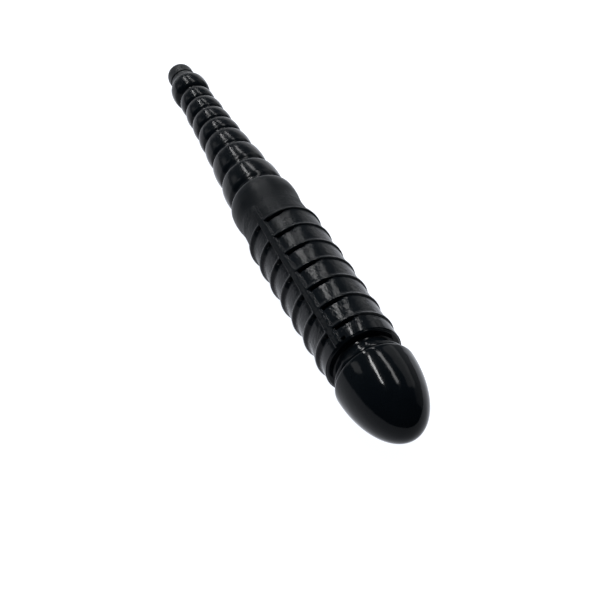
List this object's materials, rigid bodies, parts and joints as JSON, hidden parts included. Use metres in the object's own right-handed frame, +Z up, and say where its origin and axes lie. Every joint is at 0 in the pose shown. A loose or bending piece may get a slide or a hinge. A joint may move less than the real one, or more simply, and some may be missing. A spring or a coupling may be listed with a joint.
{
  "type": "flexible elastomer rod",
  "caption": "Straight, flexible, solid elastomer rod with a beaded tapering tail, a ribbed shaft and a rounded head; it bends at its grooves.",
  "frame": {"origin": "on the resting surface under the middle of the rod's length, straight below its axis", "axes": "+X along the rod from the tail stub to the head, +Z up, +Y to the left when looking along +X"},
  "size_m": [0.3512, 0.042, 0.042],
  "materials": {
    "elastomer": "glossy black soft elastomer, slightly wavy moulded skin"
  },
  "bodies": {
    "tail_stub": {"tail_stub": "elastomer"},
    "bead_1": {"bead_1": "elastomer"},
    "bead_2": {"bead_2": "elastomer"},
    "bead_3": {"bead_3": "elastomer"},
    "bead_4": {"bead_4": "elastomer"},
    "bead_5": {"bead_5": "elastomer"},
    "bead_6": {"bead_6": "elastomer"},
    "bead_7": {"bead_7": "elastomer"},
    "bead_8": {"bead_8": "elastomer"},
    "collar": {"collar": "elastomer"},
    "rib_band_1": {"rib_band_1": "elastomer"},
    "rib_band_2": {"rib_band_2": "elastomer"},
    "rib_band_3": {"rib_band_3": "elastomer"},
    "rib_band_4": {"rib_band_4": "elastomer"},
    "rib_band_5": {"rib_band_5": "elastomer"},
    "rib_band_6": {"rib_band_6": "elastomer"},
    "rib_band_7": {"rib_band_7": "elastomer"},
    "head": {"head": "elastomer"}
  },
  "joints": [
    {"name": "stub_bend", "type": "hinge", "parent": "bead_1", "child": "tail_stub", "pos_m": [-0.16335, 0, 0.021], "axis": [0, 0, 1], "range_deg": [-8, 8], "stiffness_Nm_per_rad": 0.12},
    {"name": "bead_1_bend", "type": "hinge", "parent": "bead_2", "child": "bead_1", "pos_m": [-0.14035, 0, 0.021], "axis": [0, 0, 1], "range_deg": [-8, 8], "stiffness_Nm_per_rad": 0.23},
    {"name": "bead_2_bend", "type": "hinge", "parent": "bead_3", "child": "bead_2", "pos_m": [-0.12605, 0, 0.021], "axis": [0, 0, 1], "range_deg": [-8, 8], "stiffness_Nm_per_rad": 0.19},
    {"name": "bead_3_bend", "type": "hinge", "parent": "bead_4", "child": "bead_3", "pos_m": [-0.11095, 0, 0.021], "axis": [0, 0, 1], "range_deg": [-8, 8], "stiffness_Nm_per_rad": 0.27},
    {"name": "bead_4_bend", "type": "hinge", "parent": "bead_5", "child": "bead_4", "pos_m": [-0.09625, 0, 0.021], "axis": [0, 0, 1], "range_deg": [-8, 8], "stiffness_Nm_per_rad": 0.33},
    {"name": "bead_5_bend", "type": "hinge", "parent": "bead_6", "child": "bead_5", "pos_m": [-0.08155, 0, 0.021], "axis": [0, 0, 1], "range_deg": [-8, 8], "stiffness_Nm_per_rad": 0.4},
    {"name": "bead_6_bend", "type": "hinge", "parent": "bead_7", "child": "bead_6", "pos_m": [-0.06305, 0, 0.021], "axis": [0, 0, 1], "range_deg": [-7, 7], "stiffness_Nm_per_rad": 0.46},
    {"name": "bead_7_bend", "type": "hinge", "parent": "bead_8", "child": "bead_7", "pos_m": [-0.04165, 0, 0.021], "axis": [0, 0, 1], "range_deg": [-6, 6], "stiffness_Nm_per_rad": 0.68},
    {"name": "bead_8_bend", "type": "hinge", "parent": "collar", "child": "bead_8", "pos_m": [-0.01965, 0, 0.021], "axis": [0, 0, 1], "range_deg": [-6, 6], "stiffness_Nm_per_rad": 0.79},
    {"name": "collar_bend", "type": "hinge", "parent": "collar", "child": "rib_band_1", "pos_m": [0.01875, 0, 0.021], "axis": [0, 0, 1], "range_deg": [-3, 3], "stiffness_Nm_per_rad": 2.8},
    {"name": "band_1_bend", "type": "hinge", "parent": "rib_band_1", "child": "rib_band_2", "pos_m": [0.03405, 0, 0.021], "axis": [0, 0, 1], "range_deg": [-3, 3], "stiffness_Nm_per_rad": 4.9},
    {"name": "band_2_bend", "type": "hinge", "parent": "rib_band_2", "child": "rib_band_3", "pos_m": [0.04935, 0, 0.021], "axis": [0, 0, 1], "range_deg": [-3, 3], "stiffness_Nm_per_rad": 4.9},
    {"name": "band_3_bend", "type": "hinge", "parent": "rib_band_3", "child": "rib_band_4", "pos_m": [0.06465, 0, 0.021], "axis": [0, 0, 1], "range_deg": [-3, 3], "stiffness_Nm_per_rad": 4.9},
    {"name": "band_4_bend", "type": "hinge", "parent": "rib_band_4", "child": "rib_band_5", "pos_m": [0.07995, 0, 0.021], "axis": [0, 0, 1], "range_deg": [-3, 3], "stiffness_Nm_per_rad": 4.9},
    {"name": "band_5_bend", "type": "hinge", "parent": "rib_band_5", "child": "rib_band_6", "pos_m": [0.09525, 0, 0.021], "axis": [0, 0, 1], "range_deg": [-3, 3], "stiffness_Nm_per_rad": 4.9},
    {"name": "band_6_bend", "type": "hinge", "parent": "rib_band_6", "child": "rib_band_7", "pos_m": [0.11055, 0, 0.021], "axis": [0, 0, 1], "range_deg": [-3, 3], "stiffness_Nm_per_rad": 5},
    {"name": "neck_bend", "type": "hinge", "parent": "rib_band_7", "child": "head", "pos_m": [0.12535, 0, 0.021], "axis": [0, 0, 1], "range_deg": [-4, 4], "stiffness_Nm_per_rad": 1.8}
  ]
}
